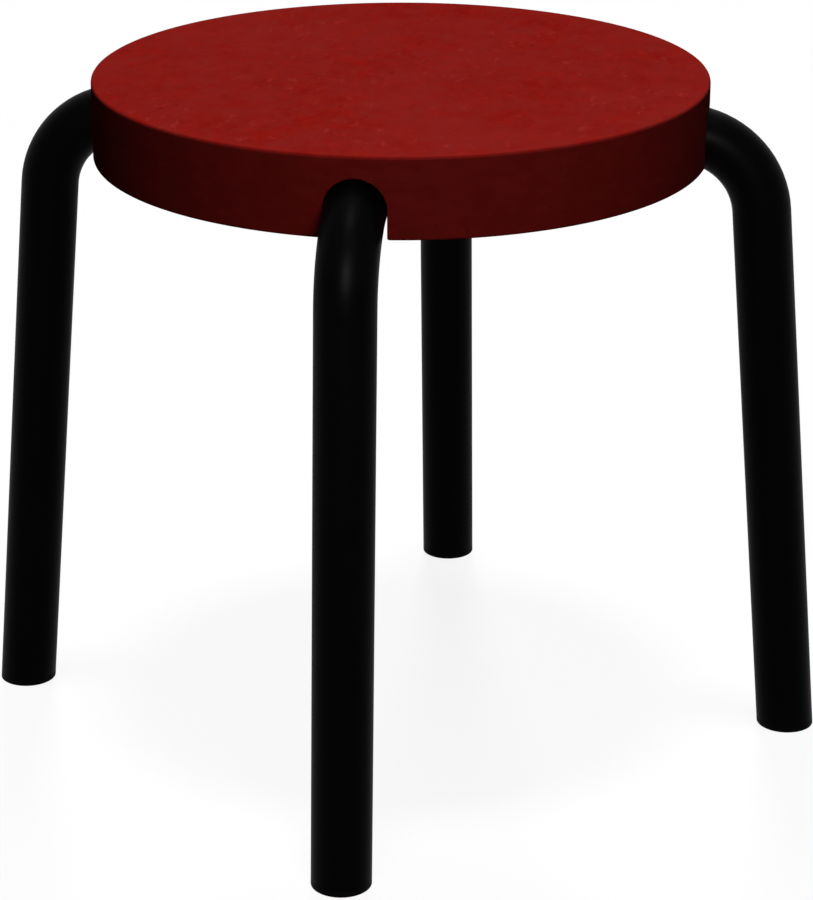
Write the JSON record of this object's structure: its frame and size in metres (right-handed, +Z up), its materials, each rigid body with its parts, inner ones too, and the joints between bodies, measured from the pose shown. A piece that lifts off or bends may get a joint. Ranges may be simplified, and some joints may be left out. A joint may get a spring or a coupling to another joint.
{
  "type": "round stool",
  "caption": "Low stool with a thick round board seat on bent tube legs that lie in channels milled into its underside and leave through the rim.",
  "frame": {"origin": "on the floor, under the middle of the seat", "axes": "+Z up; one leg points to -Y (the front leg of the picture), the others to +X, +Y and -X"},
  "size_m": [0.5696, 0.5696, 0.447],
  "materials": {
    "seat_board": "through-dyed dense fibreboard, matt clear sealer",
    "powder_coat": "black satin powder coat on steel tube",
    "black_plastic": "moulded black, matt",
    "zinc_steel": "zinc plated",
    "insert_brass": "turned"
  },
  "bodies": {
    "root": {"seat": "seat_board", "leg_front": "powder_coat", "leg_right": "powder_coat", "leg_back": "powder_coat", "leg_left": "powder_coat", "stub_cap_front": "black_plastic", "stub_cap_right": "black_plastic", "stub_cap_back": "black_plastic", "stub_cap_left": "black_plastic", "foot_glide_front": "black_plastic", "foot_glide_right": "black_plastic", "foot_glide_back": "black_plastic", "foot_glide_left": "black_plastic", "screws_front": "zinc_steel", "screws_right": "zinc_steel", "screws_back": "zinc_steel", "screws_left": "zinc_steel", "saddle_washers_front": "zinc_steel", "saddle_washers_right": "zinc_steel", "saddle_washers_back": "zinc_steel", "saddle_washers_left": "zinc_steel", "threaded_inserts_front": "insert_brass", "threaded_inserts_right": "insert_brass", "threaded_inserts_back": "insert_brass", "threaded_inserts_left": "insert_brass"}
  },
  "joints": []
}
